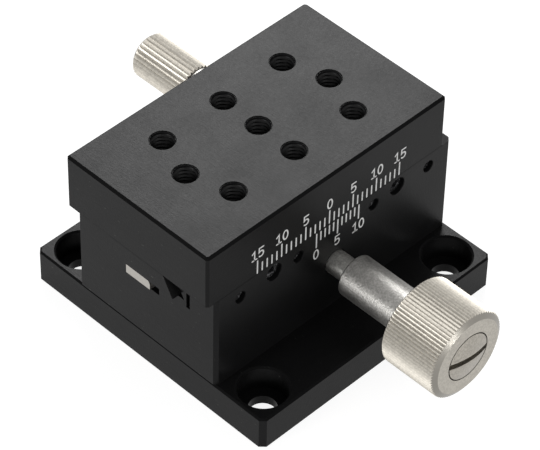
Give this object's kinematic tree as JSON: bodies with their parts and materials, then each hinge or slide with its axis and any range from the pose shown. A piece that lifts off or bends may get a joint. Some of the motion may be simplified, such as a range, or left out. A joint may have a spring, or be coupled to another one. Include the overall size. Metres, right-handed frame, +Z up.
{
  "type": "linear translation stage",
  "caption": "Compact dovetail translation stage: a tapped table slides on a guide body and base plate, driven by a rack and pinion knob, with a clamp knob and a millimetre scale.",
  "frame": {"origin": "centre of the base plate's bolt pattern, on the base plate's underside", "axes": "+X along the travel, to the right when the scale faces the viewer; -Y towards the side with the scale and the drive knob; +Z up, from the base plate to the table"},
  "size_m": [0.0518, 0.0758, 0.034],
  "materials": {
    "black_anodised": "matte black anodised aluminium",
    "black_steel": "black oxide steel",
    "steel": "turned",
    "pale_steel": "machined",
    "nickel": "satin nickel plated",
    "brass": "turned",
    "spring_bronze": "stamped",
    "white_plastic": "smooth"
  },
  "bodies": {
    "base": {"base_plate": "black_anodised", "guide_body": "black_anodised", "base_screws": "black_steel", "dowel_pins": "steel", "jaw_screws_small": "black_steel", "jaw_screws_large": "black_steel", "front_bush": "brass", "rear_bush": "brass", "thrust_washer": "white_plastic", "stop_pin": "steel"},
    "table": {"table": "black_anodised", "rack": "pale_steel", "rack_screws": "black_steel"},
    "drive": {"drive_shaft": "steel", "pinion": "steel", "pinion_pin": "steel", "spring_washer": "spring_bronze", "drive_sleeve": "steel", "sleeve_screw": "black_steel", "drive_knob": "nickel", "knob_screw": "nickel"},
    "clamp_pad": {"clamp_pad": "brass"},
    "clamp_knob": {"clamp_screw": "steel", "clamp_sleeve": "steel", "clamp_knob": "nickel"}
  },
  "joints": [
    {"name": "table_slide", "type": "slide", "parent": "base", "child": "table", "axis": [1, 0, 0], "range_m": [-0.0132, 0.0168]},
    {"name": "drive_turn", "type": "hinge", "parent": "base", "child": "drive", "pos_m": [0, 0, 0.015], "axis": [0, 1, 0], "range_deg": [-189.1, 240.7]},
    {"name": "clamp_advance", "type": "slide", "parent": "base", "child": "clamp_pad", "axis": [0, -1, 0], "range_m": [-0.0005, 0.00008333]},
    {"name": "clamp_turn", "type": "hinge", "parent": "clamp_pad", "child": "clamp_knob", "pos_m": [0.0067, 0.022, 0.0219], "axis": [0, -1, 0], "range_deg": [-360, 60]}
  ],
  "couplings": [
    {"joint": "drive_turn", "follows": "table_slide", "rad_per_m": 250},
    {"joint": "clamp_turn", "follows": "clamp_advance", "rad_per_m": 12566}
  ]
}
